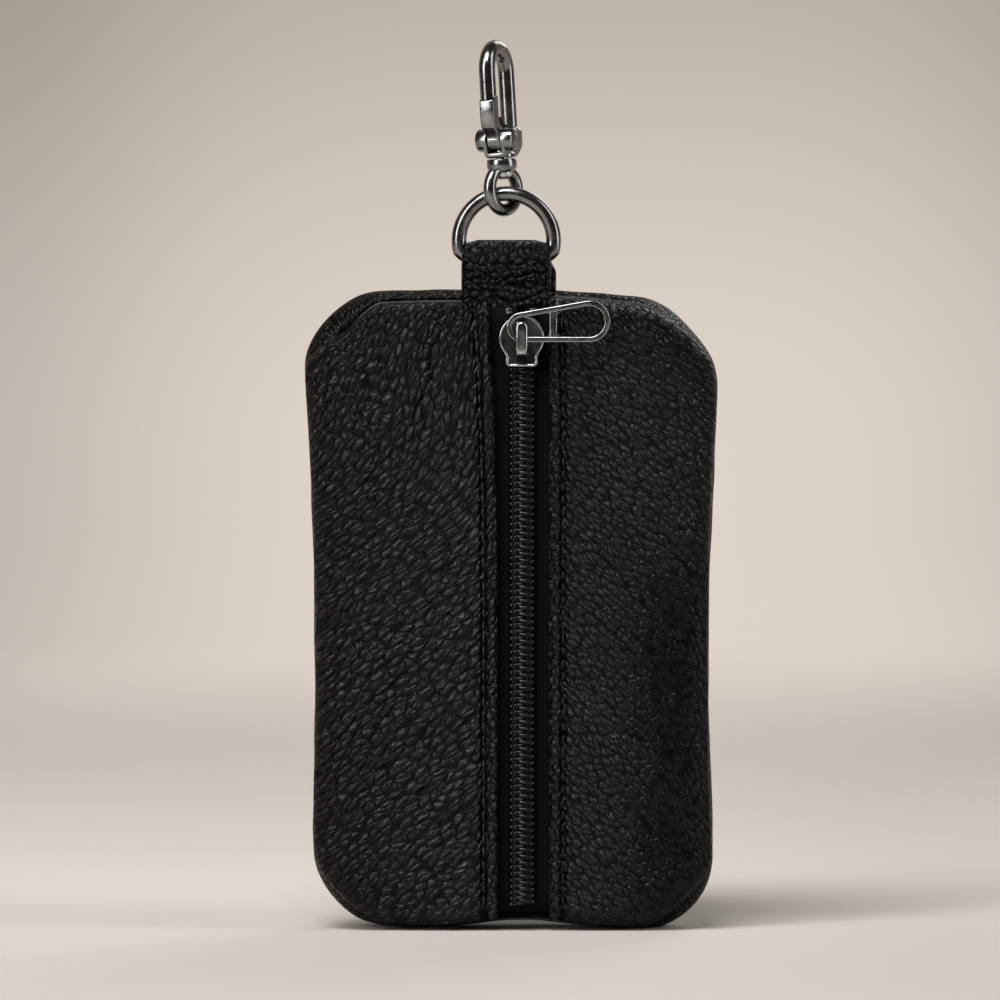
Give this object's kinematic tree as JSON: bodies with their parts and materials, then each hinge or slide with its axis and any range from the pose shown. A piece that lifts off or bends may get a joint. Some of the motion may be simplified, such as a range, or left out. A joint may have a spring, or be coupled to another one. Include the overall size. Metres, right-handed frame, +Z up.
{
  "type": "zip key case",
  "caption": "Soft leather key case with a front zip, a tab with a D-ring, a swivel snap hook, and a key ring on a strap inside.",
  "frame": {"origin": "middle of the part's box on the surface it stands on", "axes": "+Z up through the case, from its base to the hook; -Y faces the front with the zip; +X to the right"},
  "size_m": [0.0778, 0.0287, 0.1669],
  "materials": {
    "leather": "pebbled, semi-matt black",
    "lining": "plain woven, black",
    "tape": "woven tape, black",
    "coil": "nylon, black",
    "gunmetal": "dark nickel plate, polished",
    "steel": "bright spring steel"
  },
  "bodies": {
    "case": {"back_panel": "leather", "front_left_panel": "leather", "front_right_panel": "leather", "back_lining": "lining", "front_left_lining": "lining", "front_right_lining": "lining", "tape_left": "tape", "tape_right": "tape", "coil_left": "coil", "coil_right": "coil", "top_stop_left": "gunmetal", "top_stop_right": "gunmetal", "hanger_tab": "leather", "key_strap": "leather", "strap_rivet": "steel"},
    "key_ring": {"key_ring": "steel"},
    "slider": {"slider_body": "gunmetal", "slider_bridge": "gunmetal", "lock_spring": "steel"},
    "puller": {"puller": "gunmetal"},
    "d_ring": {"d_ring": "gunmetal"},
    "swivel_eye": {"swivel_eye": "gunmetal"},
    "hook": {"hook_body": "gunmetal", "swivel_post": "gunmetal", "gate_pin": "gunmetal", "gate_spring": "steel"},
    "gate": {"gate": "gunmetal"}
  },
  "joints": [
    {"name": "zip_slide", "type": "slide", "parent": "case", "child": "slider", "axis": [0, 0, -1], "range_m": [0, 0.0965], "deforming": ["tape_left", "tape_right", "coil_left", "coil_right"]},
    {"name": "puller_flip", "type": "hinge", "parent": "slider", "child": "puller", "pos_m": [0.0019, -0.01227, 0.1109], "axis": [1, 0, 0], "range_deg": [0, 170]},
    {"name": "key_ring_swing", "type": "hinge", "parent": "case", "child": "key_ring", "pos_m": [0, 0.00517, 0.1006], "axis": [1, 0, 0], "range_deg": [-14, 14]},
    {"name": "d_ring_swing", "type": "hinge", "parent": "case", "child": "d_ring", "pos_m": [-0.001, -0.00382, 0.126], "axis": [1, 0, 0], "range_deg": [-80, 80]},
    {"name": "eye_slide", "type": "hinge", "parent": "d_ring", "child": "swivel_eye", "pos_m": [-0.001, -0.00382, 0.1292], "axis": [0, 1, 0], "range_deg": [-30, 35]},
    {"name": "hook_swivel", "type": "hinge", "parent": "swivel_eye", "child": "hook", "pos_m": [-0.001, -0.00382, 0.1292], "axis": [-0.0576, 0, 0.9983], "continuous": true},
    {"name": "gate_open", "type": "hinge", "parent": "hook", "child": "gate", "pos_m": [-0.00271, -0.0053, 0.14808], "axis": [-0.919, 0.3907, -0.053], "range_deg": [0, 25], "stiffness_Nm_per_rad": 0.0055, "springref_deg": -5.73, "deforming": ["gate_spring"]}
  ]
}
